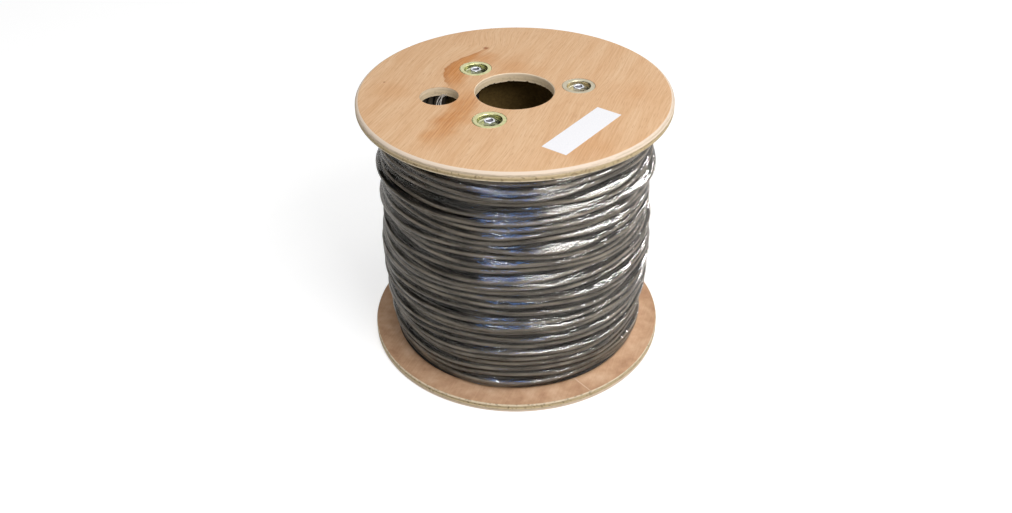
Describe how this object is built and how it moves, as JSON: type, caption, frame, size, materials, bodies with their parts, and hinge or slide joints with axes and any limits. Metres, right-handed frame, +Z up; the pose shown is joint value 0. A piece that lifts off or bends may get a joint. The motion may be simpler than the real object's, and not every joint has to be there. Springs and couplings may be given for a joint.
{
  "type": "wooden cable drum",
  "caption": "Cable drum with round plywood flanges on a cardboard core, clamped by tie rods, wound full with black cable under clear stretch film.",
  "frame": {"origin": "on the drum's axis, at the outside face of the bottom flange, where it stands on the floor", "axes": "+Z up the drum's axis, out of the top flange; +X through the first tie rod, opposite the hole for the cable's inner end"},
  "size_m": [0.3999, 0.4, 0.3602],
  "materials": {
    "plywood": "bare rotary-cut veneer",
    "core_board": "bare",
    "cable_jacket": "satin black jacket",
    "stretch_film": "clear glossy film",
    "zinc_yellow": "yellow passivated zinc",
    "zinc_clear": "bright zinc",
    "label_paper": "plain white"
  },
  "bodies": {
    "root": {"top_flange": "plywood", "bottom_flange": "plywood", "core_tube": "core_board", "cable_winding": "cable_jacket", "stretch_film": "stretch_film", "tie_rod_1": "zinc_clear", "tie_rod_2": "zinc_clear", "tie_rod_3": "zinc_clear", "top_washer_1": "zinc_yellow", "top_washer_2": "zinc_yellow", "top_washer_3": "zinc_yellow", "bottom_washer_1": "zinc_yellow", "bottom_washer_2": "zinc_yellow", "bottom_washer_3": "zinc_yellow", "top_nut_1": "zinc_clear", "top_nut_2": "zinc_clear", "top_nut_3": "zinc_clear", "bottom_nut_1": "zinc_clear", "bottom_nut_2": "zinc_clear", "bottom_nut_3": "zinc_clear", "label": "label_paper"}
  },
  "joints": []
}
